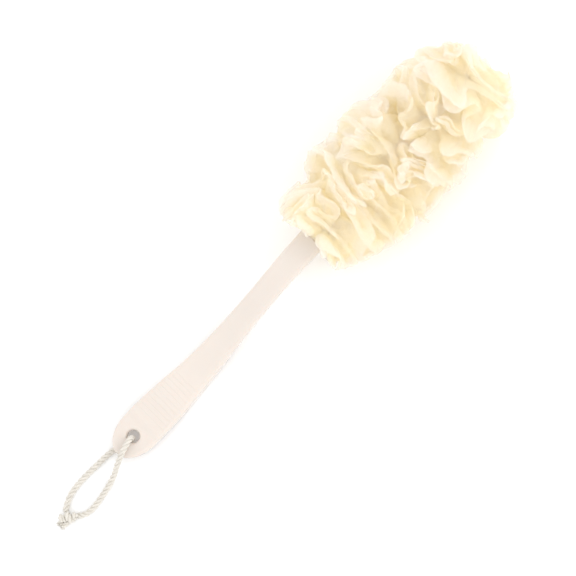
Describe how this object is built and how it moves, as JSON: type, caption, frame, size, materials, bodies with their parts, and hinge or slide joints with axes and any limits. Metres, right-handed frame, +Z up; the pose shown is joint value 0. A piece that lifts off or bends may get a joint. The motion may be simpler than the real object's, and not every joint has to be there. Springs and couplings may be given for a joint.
{
  "type": "back scrubber",
  "caption": "Long handled bath back scrubber: flat paddle grip with a hanging cord loop, slim curved neck and a full head of ruffled netting tied in bundles round an inner stem.",
  "frame": {"origin": "on the table, under the middle of the stick and on its centre plane", "axes": "+X along the stick from the handle's end to the head's tip, +Z up from the table, +Y to the left of the head's direction seen from above"},
  "size_m": [0.4473, 0.095, 0.0895],
  "materials": {
    "handle_plastic": "satin",
    "netting": "matte",
    "tie_string": "matte",
    "cotton_cord": "matte"
  },
  "bodies": {
    "scrubber": {"handle": "handle_plastic", "tie_cord_1": "tie_string", "tie_cord_2": "tie_string", "tie_cord_3": "tie_string", "tie_cord_4": "tie_string", "tie_cord_5": "tie_string", "mesh_bundle_1": "netting", "mesh_bundle_2": "netting", "mesh_bundle_3": "netting", "mesh_bundle_4": "netting", "mesh_bundle_5": "netting"},
    "hanging_loop": {"hanging_cord": "cotton_cord", "hanging_cord_knot": "cotton_cord", "hanging_cord_ends": "cotton_cord"}
  },
  "joints": [
    {"name": "loop_swing", "type": "hinge", "parent": "scrubber", "child": "hanging_loop", "pos_m": [-0.173, 0, 0.0086], "axis": [0, 0, 1], "range_deg": [-90, 90]}
  ]
}
